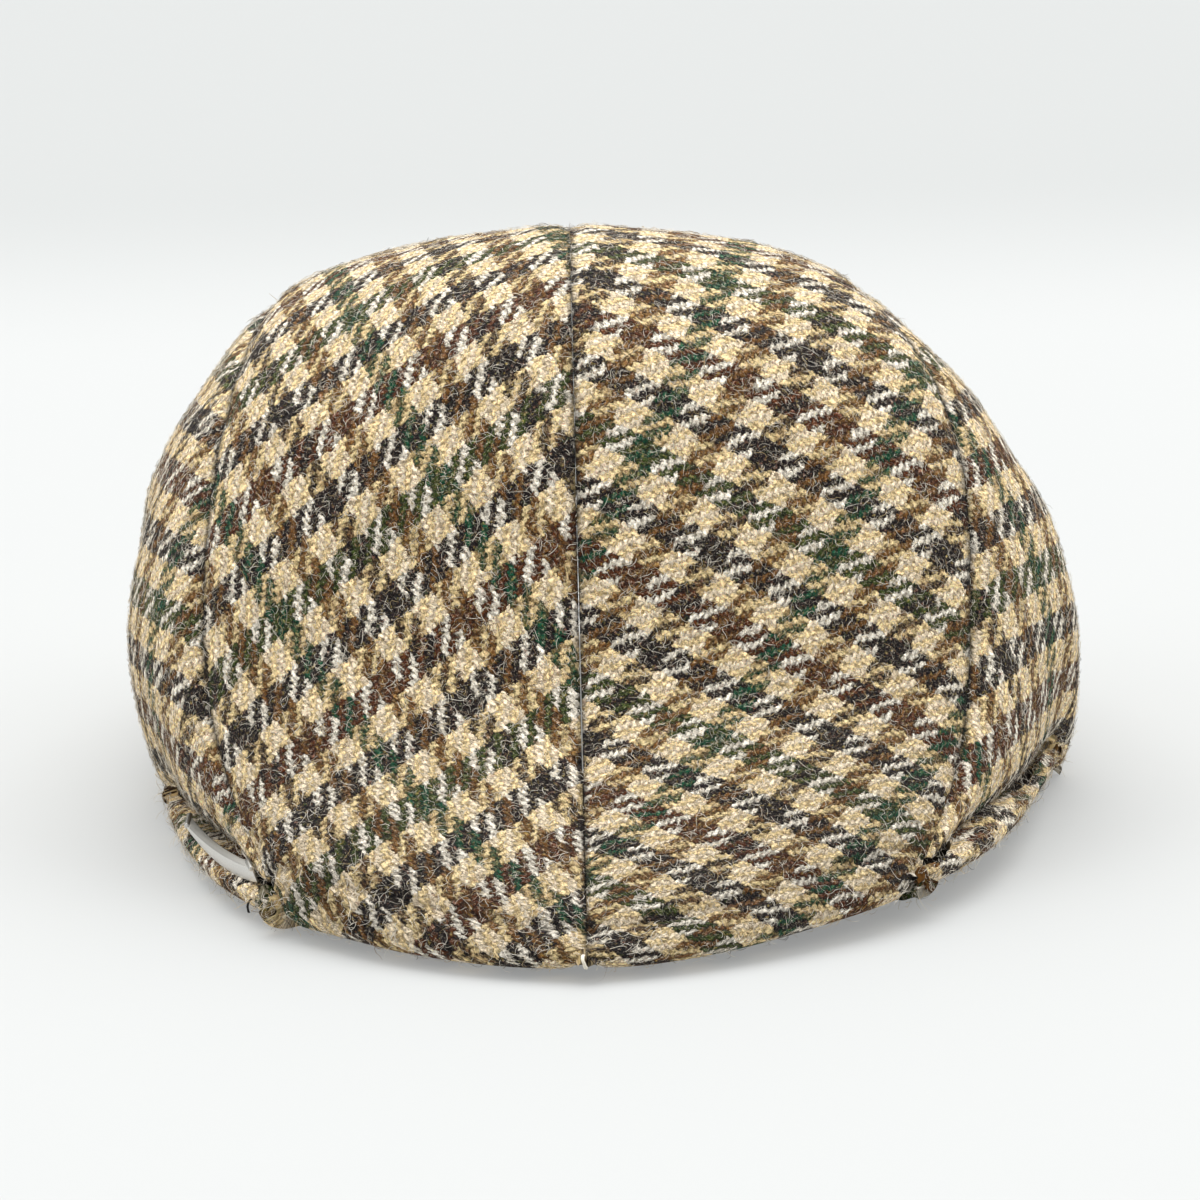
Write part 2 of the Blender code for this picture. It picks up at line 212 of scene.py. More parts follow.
def houndstooth():
    """The check, yarn by yarn. Each piece's map counts the yarns across and along its cloth."""
    material, shader, wire = fabric("houndstooth_wool")
    at = wire.node("ShaderNodeUVMap", {"uv_map": "yarns"})
    ragged = noise(wire, at, 2.1, 2.0, output=1)
    wander = noise(wire, at, 0.33, 1.0, output=1)
    shift = ragged.vector("MULTIPLY_ADD", (1.5, 1.5, 0.0), (-0.75, -0.75, 0.0))
    drift = wander.vector("MULTIPLY_ADD", (1.9, 1.9, 0.0), (-0.95, -0.95, 0.0))
    bent = at.vector("ADD", shift).vector("ADD", drift)
    across = bent.part(0)
    along = bent.part(1)
    warp = across // 1.0
    pick = along // 1.0
    over = ((pick - warp) % 4.0) < 1.5
    warp_run = ((along - warp) % 4.0) / 2.0
    weft_run = (((across - pick) % 4.0) - 1.0) / 2.0
    warp_side = (across % 1.0) * 2.0 - 1.0
    weft_side = (along % 1.0) * 2.0 - 1.0
    warp_height = dome(warp_side, warp_run)
    weft_height = dome(weft_side, weft_run)
    height = over * warp_height + (1.0 - over) * weft_height
    light_warp = ((warp + 0.5) % (2.0 * BLOCK)) < BLOCK
    light_weft = ((pick + 0.5) % (2.0 * BLOCK)) < BLOCK
    warp_colour = light_weft.blend(striped(wire, warp + 0.5, "chalk", WARP_DARKS),
                                   striped(wire, warp + 0.5, "white", WARP_DARKS))
    weft_colour = light_warp.blend(striped(wire, pick + 0.5, "ochre", WEFT_DARKS),
                                   striped(wire, pick + 0.5, "cream", WEFT_DARKS))
    colour = over.blend(weft_colour, warp_colour)

    # Fibres lie aslant in the yarns' twist, and flecks of other wool are spun in
    slant = wire.node("ShaderNodeCombineXYZ", {}, {0: across + along * (over * 1.5 - 0.75), 1: along * 0.35})
    fibres = noise(wire, slant, 2.6, 2.0)
    fluff = noise(wire, at, 1.6, 4.0)
    fleck = noise(wire, at, 1.3, 3.0)
    kind = noise(wire, at, 0.5, 0.0)
    stops = [(0.25 + 0.17 * k, c) for k, c in enumerate(FLECKS.values())]
    fleck_colour = wire.node("ShaderNodeValToRGB", {"stops": stops, "interpolation": "CONSTANT"},
                             {"Fac": kind})
    colour = (fleck.between(0.55, 0.68) * 0.5).blend(colour, fleck_colour)

    # Where a light weft crosses a dark warp, its fluff spreads over the dark yarn beside it
    spread = (1.0 - light_warp) * light_weft * fluff.between(0.40, 0.60)
    colour = (spread * 0.30).blend(colour, coloured(FLUFF_OCHRE))
    ginger = (1.0 - light_warp) * light_weft * noise(wire, at, 0.45, 2.0).between(0.48, 0.66)
    colour = (ginger * 0.38).blend(colour, coloured(FLECKS["ginger"]))

    # Curly fibres lie over everything: pale ones show on the dark yarns, dark ones on the light
    pale = curls(wire, at, 0.75, 0.016).largest(curls(wire, at, 1.4, 0.024))
    paler = colour.vector("MAXIMUM", FLUFF_PALE)
    colour = (pale * fluff.between(0.44, 0.58) * 0.52).blend(colour, paler)
    dark = curls(wire, at, 1.1, 0.02)
    colour = (dark * fluff.between(0.60, 0.40) * 0.40).blend(colour, coloured(FLUFF_DARK))

    # Painted shade: deep between the floats the colour is darkened and made stronger, as wool looks in
    # shadow. The fibre streaks are partly the yarn's own tone and partly painted highlight and shade, and
    # painted shadow darkens the seams, the line of stitches and the cloth near the peak's edge.
    light_both = light_warp * light_weft
    valley_shade = 0.44 + light_both * 0.34
    # Painted shade from each float's height and its fibre streaks
    depth = (valley_shade + height * (1.0 - valley_shade)) * (0.36 + fibres.between(0.30, 0.66) * 0.72)
    shaded_colour = colour.vector("MULTIPLY", colour).vector("ADD", colour).vector("SCALE", Scale=0.5)
    colour = depth.between(0.30, 0.80).blend(shaded_colour, colour)
    seam = wire.node("ShaderNodeAttribute", {"attribute_name": "seam"}, {}, output=2)
    shade = depth * (0.62 + fluff.between(0.30, 0.70) * 0.62) * (1.0 - seam * 0.86)
    colour = colour.vector("SCALE", Scale=shade * 1.50)
    wire.tree.links.new(colour.socket, shader.inputs["Base Color"])
    relief = wire.node("ShaderNodeBump", {}, {"Strength": 0.9, "Distance": 0.0005,
                                              "Height": height + fibres * 0.5 + fluff * 0.4})
    wire.tree.links.new(relief.socket, shader.inputs["Normal"])
    return material


WOOL = houndstooth()


# The two top panels
# Each is cut from the cloth on a slant, so that the check runs down towards the centre seam
# on both sides. They are sewn at the centre and side seams, and their front edges are turned
# under round the peak's edge.
CLOTH = 0.0018
MERGE = 1e-5
RIM_FOLD = math.radians(35)
LEVEL_RIM = -0.97
EDGE_CENTRE = (-0.004, -0.030, 0.0)
PEAK_TOP = 0.012
RIM_REACH = 0.0022
RIM_STEP = 0.0009
RIM_LOOK = 0.010
RIM_SPACING = 0.001
SEAM_FALL = 0.0012
SEAM_WIDTH = 0.0026
SEAM_SHADOW = 0.0008
CORNER_SIDE = 0.04
CORNER_LOW = 0.012
PUCKER = 0.5
PUCKER_SIZE = 0.006
DENT = 0.0012
DENT_SIZE = 0.022
STITCH_LINE = 0.0075
STITCH_FALL = 0.0008
STITCH_WIDTH = 0.0011
STITCH_SHADOW = 0.55
EDGE_SHADOW = 0.34
EDGE_FADE = 0.042
HEAD_CENTRE = (0.0, 0.0, 0.0)
STRAND_LENGTH = (0.0012, 0.0030, 0.0055)
STRAND_LIFT = (0.0001, 0.0003, 0.0007)
STRAND_WIDTH = (0.00006, 0.00011)
STRAND_ROOT = 0.0001
STRAND_STEPS = 5
LOOSE_SHARE = 0.15
FLOOR_GAP = 0.0001
STRAND_TINTS = ((0.0, (0.92, 0.85, 0.73)), (0.50, (0.72, 0.66, 0.55)), (0.74, (0.62, 0.46, 0.24)),
                (0.86, (0.26, 0.17, 0.10)), (0.93, (0.06, 0.045, 0.04)))
FRONT_CUT = {
    "left": {"across": (-0.536, 90.30, -2.72, 158, -9, 168),
             "along": (0.723, -10.68, 78.49, 28, -95, -38)},
    "right": {"across": (2.747, 92.88, 5.58, -124, 91, -123),
              "along": (0.517, -4.45, 81.01, 9, 31, 60)},
}
SIDE_START = {"left": (0.0, 0.0), "right": (0.0, 0.0)}
STRIP_GRAIN = {"left": (0.0, -0.5, -0.5), "right": (0.0, -0.5, -0.5)}
TURNED_EDGE = ((0.998, -0.0010), (0.992, -0.0014), (0.986, -0.0012), (0.975, -0.0005), (0.965, 0.0))


def work_on(piece):
    bpy.ops.object.select_all(action="DESELECT")
    piece.select_set(True)
    bpy.context.view_layer.objects.active = piece


def choose(mesh, faces=(), edges=()):
    """Selects only these faces, or only these edges, for the next step in edit mode."""
    for part in (mesh.vertices, mesh.edges, mesh.polygons):
        part.foreach_set("select", np.zeros(len(part), bool))
    for k in faces:
        mesh.polygons[k].select = True
    for k in edges:
        mesh.edges[k].select = True
    bpy.context.tool_settings.mesh_select_mode = (False, bool(edges), not edges)


def edit(piece, step):
    """Runs one step in edit mode."""
    work_on(piece)
    bpy.ops.object.mode_set(mode="EDIT")
    step()
    bpy.ops.object.mode_set(mode="OBJECT")


def skin_of(node, name, facing):
    """A copy of a solid's outer skin as an open sheet of quads."""
    piece = bpy.data.objects.new(name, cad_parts[node].data.copy())
    bpy.context.scene.collection.objects.link(piece)
    mesh = piece.data
    mesh.materials.clear()

    def merge():
        bpy.ops.mesh.select_all(action="SELECT")
        bpy.ops.mesh.remove_doubles(threshold=MERGE)
        bpy.ops.mesh.normals_make_consistent(inside=False)

    def keep_chosen():
        bpy.ops.mesh.faces_select_linked_flat(sharpness=RIM_FOLD)
        bpy.ops.mesh.select_all(action="INVERT")
        bpy.ops.mesh.delete(type="FACE")

    def make_quads():
        bpy.ops.mesh.delete(type="FACE")
        bpy.ops.mesh.select_all(action="SELECT")
        bpy.ops.mesh.tris_convert_to_quads(face_threshold=math.pi, shape_threshold=math.pi)
        bpy.ops.mesh.faces_shade_smooth()

    edit(piece, merge)
    facing = Vector(facing)
    choose(mesh, faces=[max(mesh.polygons, key=lambda face: face.normal.dot(facing)).index])
    edit(piece, keep_chosen)
    choose(mesh, faces=[face.index for face in mesh.polygons if face.normal.z < LEVEL_RIM])
    edit(piece, make_quads)
    return piece


def rim_outline():
    """The peak's outline from above, as a loop of points round every solid at its edge."""
    low = []
    for node in ("peak_board", "top_panel_left", "top_panel_right", "edge_strip_left", "edge_strip_right"):
        low += [vertex.co.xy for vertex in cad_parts[node].data.vertices if vertex.co.z < PEAK_TOP]
    return [low[k] for k in convex_hull_2d(low)]


def front_edges(mesh):
    """Border edges that run along the peak's outline, and lie lowest there."""
    loop = rim_outline()
    sides = list(zip(loop, loop[1:] + loop[:1]))
    uses = {}
    for face in mesh.polygons:
        for key in face.edge_keys:
            uses[key] = uses.get(key, 0) + 1
    border = [edge for edge in mesh.edges if uses.get(edge.key) == 1]
    spots = [mesh.vertices[k].co for edge in border for k in edge.vertices]

    def lowest(spot):
        return all(spot.z - other.z < RIM_STEP or (spot - other).xy.length > RIM_LOOK for other in spots)

    found = []
    for edge in border:
        first, second = (mesh.vertices[k].co for k in edge.vertices)
        middle = ((first + second) / 2).xy
        nearest = min(sides, key=lambda side: (middle - (side[0] + side[1]) / 2).length)
        run = (nearest[1] - nearest[0]).normalized()
        gap = abs((middle - nearest[0]).cross(run))
        along = abs((second - first).xy.normalized().dot(run))
        if gap < RIM_REACH and along > 0.7 and middle.y < 0.0 and lowest(first) and lowest(second):
            found.append(edge.index)
    return found


def turn_under(piece):
    """Rolls the cloth round the peak's edge and a little way under it. Gives the edge's points."""
    def roll():
        for shrink, fall in TURNED_EDGE:
            bpy.ops.mesh.extrude_edges_move()
            bpy.ops.transform.resize(value=(shrink, shrink, 1.0), center_override=EDGE_CENTRE)
            bpy.ops.transform.translate(value=(0.0, 0.0, fall))

    mesh = piece.data
    edges = front_edges(mesh)
    ends = [[mesh.vertices[k].co.copy() for k in mesh.edges[edge].vertices] for edge in edges]
    steps = int(RIM_LOOK / RIM_SPACING)
    rim = [start.lerp(end, step / steps) for start, end in ends for step in range(steps)]
    choose(mesh, edges=edges)
    edit(piece, roll)
    return rim


def modify(piece, kind, **settings):
    """Adds a modifier and applies it."""
    work_on(piece)
    modifier = piece.modifiers.new(kind.lower(), kind)
    for key, value in settings.items():
        setattr(modifier, key, value)
    bpy.ops.object.modifier_apply(modifier=modifier.name)


def unwrap(piece, grain, origin):
    """Lays the sheet flat as the cloth was cut, in metres from an origin, its grain along y."""
    def flatten():
        bpy.ops.mesh.select_all(action="SELECT")
        bpy.ops.uv.unwrap(method="MINIMUM_STRETCH", fill_holes=False, margin=0.0)

    mesh = piece.data
    while mesh.uv_layers:
        mesh.uv_layers.remove(mesh.uv_layers[0])
    mesh.uv_layers.new(name="yarns")
    edit(piece, flatten)
    flat = np.empty(2 * len(mesh.loops))
    mesh.uv_layers["yarns"].data.foreach_get("uv", flat)
    flat = flat.reshape(-1, 2)
    places = np.array([mesh.vertices[loop.vertex_index].co for loop in mesh.loops])
    cut = 0.0
    for face in mesh.polygons:
        x, y = flat[face.loop_start:face.loop_start + face.loop_total].T
        cut += abs(np.dot(x, np.roll(y, -1)) - np.dot(y, np.roll(x, -1))) / 2
    flat *= math.sqrt(sum(face.area for face in mesh.polygons) / cut)
    near = np.linalg.norm(places - np.array(origin), axis=1).argmin()
    flat -= flat[near]
    around = np.linalg.norm(places - places[near], axis=1) < 0.03
    matrix = np.linalg.lstsq(flat[around], places[around] - places[near], rcond=None)[0]
    sideways, onward = matrix @ np.array(grain)
    turn = math.atan2(sideways, onward)
    cosine, sine = math.cos(turn), math.sin(turn)
    return flat @ np.array(((cosine, sine), (-sine, cosine)))


def lay_check(piece, across, along):
    """Gives the piece its map: which yarn across, and which along, meet at each corner."""
    corners = np.stack([across, along], axis=1)
    piece.data.uv_layers["yarns"].data.foreach_set("uv", corners.ravel())


def drawn(flat, repeats, sideways, onward, wide, skew, long):
    """Yarns counted over a flat piece whose cloth was drawn a little in the pressing."""
    x, y = flat.T
    count = repeats + sideways * x + onward * y + wide * x * x + skew * x * y + long * y * y
    return count * 2 * BLOCK


def tree_of(points):
    """Points that the nearest one can be asked of."""
    tree = KDTree(len(points))
    for k, point in enumerate(points):
        tree.insert(point, k)
    tree.balance()
    return tree


def hollow(piece, rim):
    """Sinks the cloth softly at its seams and along its line of stitches, with a few slack dents, and stores
    painted shade for the cloth's colour: painted shadow along the seams and the line of stitches, and painted
    shade darkening the cloth towards the peak's edge.
    """
    mesh = piece.data
    uses = np.zeros(len(mesh.edges), int)
    np.add.at(uses, [loop.edge_index for loop in mesh.loops], 1)
    border = {k for edge in mesh.edges if uses[edge.index] == 1 for k in edge.vertices}
    seams = tree_of([mesh.vertices[k].co.copy() for k in border])
    edge = tree_of(rim) if rim else None
    moved = []
    dim = []
    for vertex in mesh.vertices:
        place = vertex.co
        gap = seams.find(place)[2]
        # Painted shadow along the seams, lighter at the low corners of the side pieces
        shadow = math.exp(-(gap / SEAM_SHADOW) ** 2)
        if abs(place.x) > CORNER_SIDE:
            shadow *= min(1.0, max(0.15, (place.z - CORNER_LOW) / CORNER_LOW))
        pucker = 1.0 + PUCKER * mathutils.noise.noise(place / PUCKER_SIZE)
        fall = SEAM_FALL * pucker * math.exp(-(gap / SEAM_WIDTH) ** 2)
        fall += DENT * mathutils.noise.noise(place / DENT_SIZE) * min(1.0, gap / DENT_SIZE)
        if edge and vertex.normal.z > 0.0:
            reach = edge.find(place)[2]
            line = math.exp(-((reach - STITCH_LINE) / STITCH_WIDTH) ** 2)
            fall += STITCH_FALL * pucker * line
            # Painted shade: the cloth darkens towards the peak's edge, standing in for the dimmer light
            # there, and the line of stitches gets painted shadow too
            edge_shade = EDGE_SHADOW * math.exp(-(reach / EDGE_FADE) ** 2)
            shadow = max(shadow, STITCH_SHADOW * line, edge_shade)
        moved.append(place - vertex.normal * fall)
        dim.append(shadow)
    mesh.vertices.foreach_set("co", np.array(moved).ravel())
    mesh.attributes.new("seam", "FLOAT", "POINT").data.foreach_set("value", dim)
    mesh.update()


def sew(piece, node, rim=None):
    """Gives the flat cloth its fine shape and its thickness."""
    modify(piece, "SUBSURF", levels=2, render_levels=2)
    modify(piece, "CORRECTIVE_SMOOTH", iterations=6, use_only_smooth=True, use_pin_boundary=True)
    modify(piece, "SUBSURF", levels=1, render_levels=1)
    hollow(piece, rim)
    modify(piece, "SOLIDIFY", thickness=CLOTH, offset=-1.0)
    modify(piece, "BEVEL", width=0.0007, segments=3, limit_method="ANGLE",
           angle_limit=math.radians(60))
    piece.data.shade_smooth()
    piece.data.materials.append(WOOL)
    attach(piece, "root")
    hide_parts(node)


def nap():
    """Loose fibres. Each strand's map holds its tint, from 0 to 1, and the way along it."""
    material, shader, wire = fabric("loose_wool_fibres", 0.9, 0.1)
    at = wire.node("ShaderNodeUVMap", {"uv_map": "strand"})
    stops = [(place, colour) for place, colour in STRAND_TINTS]
    tint = wire.node("ShaderNodeValToRGB", {"stops": stops, "interpolation": "CONSTANT"},
                     {"Fac": at.part(0)})
    # Painted shade and light: each strand is darker at its root, near the cloth, and lighter towards its tip
    ends = tint.vector("SCALE", Scale=0.75 + at.part(1) * 0.35)
    wire.tree.links.new(ends.socket, shader.inputs["Base Color"])
    return material


FIBRES = nap()


def fluff_up(cloth, name, count, seed):
    """Loose curly strands all over a piece's outer face, as thin twisted ribbons in one mesh."""
    random = np.random.default_rng(seed)
    mesh = cloth.data
    middles = np.array([face.center for face in mesh.polygons])
    normals = np.array([face.normal for face in mesh.polygons])
    areas = np.array([face.area for face in mesh.polygons])
    outer = ((middles - HEAD_CENTRE) * normals).sum(axis=1) > 0.0
    areas = np.where(outer, areas, 0.0)
    picks = random.choice(len(areas), count, p=areas / areas.sum())
    root, up = middles[picks], normals[picks]
    spread = np.sqrt(areas[picks])[:, None] * random.uniform(-0.5, 0.5, (count, 2))
    side = np.cross(up, random.normal(size=(count, 3)))
    side /= np.linalg.norm(side, axis=1)[:, None]
    ahead = np.cross(up, side)
    root = root + side * spread[:, :1] + ahead * spread[:, 1:]
    length = random.triangular(*STRAND_LENGTH, count)
    curl = random.normal(0.0, 2.2, count)
    sway = random.normal(0.0, 0.9, count)
    steps = np.linspace(0.0, 1.0, STRAND_STEPS + 1)
    turn = curl[:, None] * steps + sway[:, None] * np.sin(steps * 6.0 + curl[:, None])
    reach = length[:, None] / STRAND_STEPS
    forward = np.cumsum(np.cos(turn) * reach, axis=1)
    sidewards = np.cumsum(np.sin(turn) * reach, axis=1)
    lift = random.triangular(*STRAND_LIFT, count)[:, None]
    loose = random.random(count)[:, None] < LOOSE_SHARE
    height = lift * np.where(loose, steps * 1.6, np.sin(steps * math.pi)) - STRAND_ROOT
    path = (root[:, None] + ahead[:, None] * forward[..., None] + side[:, None] * sidewards[..., None]
            + up[:, None] * height[..., None])
    twist = random.uniform(-0.9, 0.9, count)[:, None] + steps * random.normal(0.0, 1.2, count)[:, None]
    wide = (-np.sin(turn)[..., None] * ahead[:, None] + np.cos(turn)[..., None] * side[:, None])
    wide = wide * np.cos(twist)[..., None] + up[:, None] * np.sin(twist)[..., None]
    half = random.uniform(*STRAND_WIDTH, count)[:, None] / 2 * (1.0 - 0.6 * steps ** 3)
    corners = np.stack([path - wide * half[..., None], path + wide * half[..., None]], axis=2)
    corners[..., 2] = np.maximum(corners[..., 2], FLOOR_GAP)
    start = np.arange(count)[:, None] * 2 * len(steps) + np.arange(STRAND_STEPS) * 2
    faces = np.stack([start, start + 1, start + 3, start + 2], axis=-1).reshape(-1, 4)
    strands = bpy.data.meshes.new(name)
    strands.from_pydata(corners.reshape(-1, 3), [], faces)
    tint = random.random(count)
    ribbon = np.stack([np.repeat(tint, STRAND_STEPS * 4),
                       np.tile(np.stack([steps[:-1], steps[:-1], steps[1:], steps[1:]], axis=1).ravel(), count)], axis=1)
    strands.uv_layers.new(name="strand").data.foreach_set("uv", ribbon.ravel())
    strands.shade_smooth()
    strands.materials.append(FIBRES)
    piece = bpy.data.objects.new(name, strands)
    bpy.context.scene.collection.objects.link(piece)
    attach(piece, "root")


for side, sign in (("left", 1.0), ("right", -1.0)):
    panel = skin_of("top_panel_" + side, "front_cloth_" + side, (0.0, 0.0, 1.0))
    rim = turn_under(panel)
    flat = unwrap(panel, (sign * 0.52, -0.60, -0.60), (sign * -0.02, -0.06, 0.08))
    lay_check(panel, drawn(flat, *FRONT_CUT[side]["across"]), drawn(flat, *FRONT_CUT[side]["along"]))
    sew(panel, "top_panel_" + side, rim)
    fluff_up(panel, "front_fluff_" + side, 12000, 11 if side == "left" else 12)


# The two side panels
# They hang from the side seams and are turned in at the hem. Their grain runs upright.
for side, facing in (("left", -1.0), ("right", 1.0)):
    panel = skin_of("side_panel_" + side, "side_cloth_" + side, (facing, 0.0, 0.2))
    flat = unwrap(panel, (0.0, 0.0, -1.0), (facing * 0.094, -0.035, 0.05))
    lay_check(panel, flat[:, 0] / END + SIDE_START[side][0], flat[:, 1] / PICK + SIDE_START[side][1])
    sew(panel, "side_panel_" + side)
    fluff_up(panel, "side_fluff_" + side, 9000, 21 if side == "left" else 22)


# The strips of cloth along the peak's edge, outside the side seams
# Each is a narrow piece cut from the same cloth, sewn in the groove and turned under the edge.
INNER_REACH = 0.0032
INNER_TUCK = (0.0022, 0.0010, 0.0010)


def tuck_inner(piece, rim, facing):
    """Carries the strip's inner edge on under the side panel, so that the groove closes."""
    def carry():
        bpy.ops.mesh.extrude_edges_move()
        bpy.ops.transform.translate(value=(-facing * INNER_TUCK[0], INNER_TUCK[1], INNER_TUCK[2]))

    mesh = piece.data
    tree = tree_of(rim)
    uses = {}
    for face in mesh.polygons:
        for key in face.edge_keys:
            uses[key] = uses.get(key, 0) + 1
    inner = [edge.index for edge in mesh.edges if uses.get(edge.key) == 1
             and all(tree.find(mesh.vertices[k].co)[2] > INNER_REACH for k in edge.vertices)
             and all(mesh.vertices[k].co.z > PEAK_TOP / 2 for k in edge.vertices)]
    choose(mesh, edges=inner)
    edit(piece, carry)


for side, facing in (("left", -1.0), ("right", 1.0)):
    panel = skin_of("edge_strip_" + side, "edge_cloth_" + side, (facing * 0.5, -0.5, 1.0))
    tuck_inner(panel, turn_under(panel), facing)
    flat = unwrap(panel, STRIP_GRAIN[side], (facing * 0.08, -0.05, 0.006))
    lay_check(panel, flat[:, 0] / END, flat[:, 1] / PICK)
    sew(panel, "edge_strip_" + side)
    fluff_up(panel, "edge_fluff_" + side, 1200, 31 if side == "left" else 32)


# The peak's board, covered below in plain dark cloth
BOARD_SHRINK = (0.955, 0.955, 1.0)
BOARD_RISE = 0.0006


def under_cloth():
    material, shader, wire = fabric("under_peak_wool")
    at = wire.node("ShaderNodeTexCoord", output=3)
    grain = noise(wire, at, 3000.0)
    colour = grain.blend(coloured((0.012, 0.008, 0.007)), coloured((0.05, 0.035, 0.028)))
    wire.tree.links.new(colour.socket, shader.inputs["Base Color"])
    return material


bpy.ops.object.select_all(action="DESELECT")
board = bpy.data.objects.new("under_peak_cloth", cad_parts["peak_board"].data.copy())
bpy.context.scene.collection.objects.link(board)
board.data.materials.clear()
board.data.materials.append(under_cloth())


def tuck_in():
    bpy.ops.mesh.select_all(action="SELECT")
    bpy.ops.mesh.remove_doubles(threshold=MERGE)
    bpy.ops.mesh.normals_make_consistent(inside=False)
    bpy.ops.transform.resize(value=BOARD_SHRINK, center_override=EDGE_CENTRE)
    bpy.ops.transform.translate(value=(0.0, 0.0, BOARD_RISE))


edit(board, tuck_in)
modify(board, "BEVEL", width=0.0004, segments=2, limit_method="ANGLE", angle_limit=math.radians(50))
board.data.shade_smooth()
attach(board, "root")
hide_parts("peak_board")


# The bare plate
# A thin strip of brushed steel, bent along its length so that its upper flange tucks into the
# groove while its face lies on the cloth strip. Its edges are broken and its ends are rolled.
PLATE_FLANGE = ((-0.0836, -0.0466, 0.0086), (-0.0767, -0.0696, 0.0098), (-0.0694, -0.0849, 0.0106))
PLATE_BEND = ((-0.0837, -0.0536, 0.0084), (-0.0761, -0.0750, 0.0094), (-0.0685, -0.0885, 0.0100))
PLATE_FOOT = ((-0.0837, -0.0537, 0.0078), (-0.0753, -0.0764, 0.0070), (-0.0675, -0.0886, 0.0072))
PLATE_STEEL = 0.0005
PLATE_EDGE = 0.00014
PLATE_COLUMNS = 24
BEAD_RADIUS = 0.00055
BEAD_SIDES = 16


def brushed_steel():
    material, shader, wire = fabric("brushed_steel_plate", 0.34, 0.0)
    shader.inputs["Metallic"].default_value = 1.0
    shader.inputs["Specular IOR Level"].default_value = 0.5
    at = wire.node("ShaderNodeTexCoord", output=3)
    lines = wire.node("ShaderNodeMapping", {}, {"Vector": at, "Rotation": (0.0, 0.0, math.radians(-28.0)),
                                                "Scale": (9000.0, 500.0, 9000.0)})
    brushing = noise(wire, lines, 1.0, 2.0)
    smears = noise(wire, at, 420.0, 2.0)
    colour = brushing.blend(coloured((0.58, 0.57, 0.54)), coloured((0.92, 0.90, 0.86)))
    # Painted shade: the upper flange, turned from the light, is painted darker than the face of the same
    # steel
    flange_shade = wire.node("ShaderNodeUVMap", {"uv_map": "UVMap"}).part(1).between(0.48, 0.54)
    colour = (flange_shade * 0.85).blend(colour, coloured((0.24, 0.235, 0.215)))
    wire.tree.links.new(colour.socket, shader.inputs["Base Color"])
    rough = 0.30 + brushing * 0.16 + smears * 0.16
    wire.tree.links.new(rough.socket, shader.inputs["Roughness"])
    relief = wire.node("ShaderNodeBump", {}, {"Strength": 0.3, "Distance": 0.00005, "Height": brushing})
    wire.tree.links.new(relief.socket, shader.inputs["Normal"])
    return material


def through(points, share):
    """A point along the smooth curve through a start, a middle and an end."""
    start, middle, end = (Vector(point) for point in points)
    return (start * (1.0 - share) * (1.0 - 2.0 * share) + middle * 4.0 * share * (1.0 - share)
            + end * share * (2.0 * share - 1.0))


def face_outwards():
    bpy.ops.mesh.select_all(action="SELECT")
    bpy.ops.mesh.normals_make_consistent(inside=False)


bpy.ops.object.select_all(action="DESELECT")
bpy.ops.mesh.primitive_grid_add(x_subdivisions=PLATE_COLUMNS, y_subdivisions=2, size=1.0)
plate = bpy.context.object
plate.name = "brushed_plate"
for corner in plate.data.vertices:
    row = (PLATE_FOOT, PLATE_BEND, PLATE_FLANGE)[round((corner.co.y + 0.5) * 2)]
    corner.co = through(row, corner.co.x + 0.5)
modify(plate, "SOLIDIFY", thickness=PLATE_STEEL, offset=-1.0)
modify(plate, "BEVEL", width=PLATE_EDGE, segments=3, limit_method="ANGLE", angle_limit=math.radians(35))
for share in (0.0, 1.0):
    top, bend = through(PLATE_FLANGE, share), through(PLATE_BEND, share)
    bpy.ops.object.select_all(action="DESELECT")
    bpy.ops.mesh.primitive_cylinder_add(vertices=BEAD_SIDES, radius=BEAD_RADIUS, depth=(top - bend).length,
                                        location=(top + bend) / 2,
                                        rotation=(top - bend).to_track_quat("Z", "Y").to_euler())
    bead = bpy.context.object
    modify(bead, "BEVEL", width=PLATE_EDGE, segments=2, limit_method="ANGLE", angle_limit=math.radians(50))
    plate.select_set(True)
    bpy.context.view_layer.objects.active = plate
    bpy.ops.object.join()
plate.data.materials.clear()
plate.data.materials.append(brushed_steel())
edit(plate, face_outwards)
work_on(plate)
bpy.ops.object.shade_smooth_by_angle(angle=math.radians(40))
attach(plate, "root")
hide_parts("groove_plate")


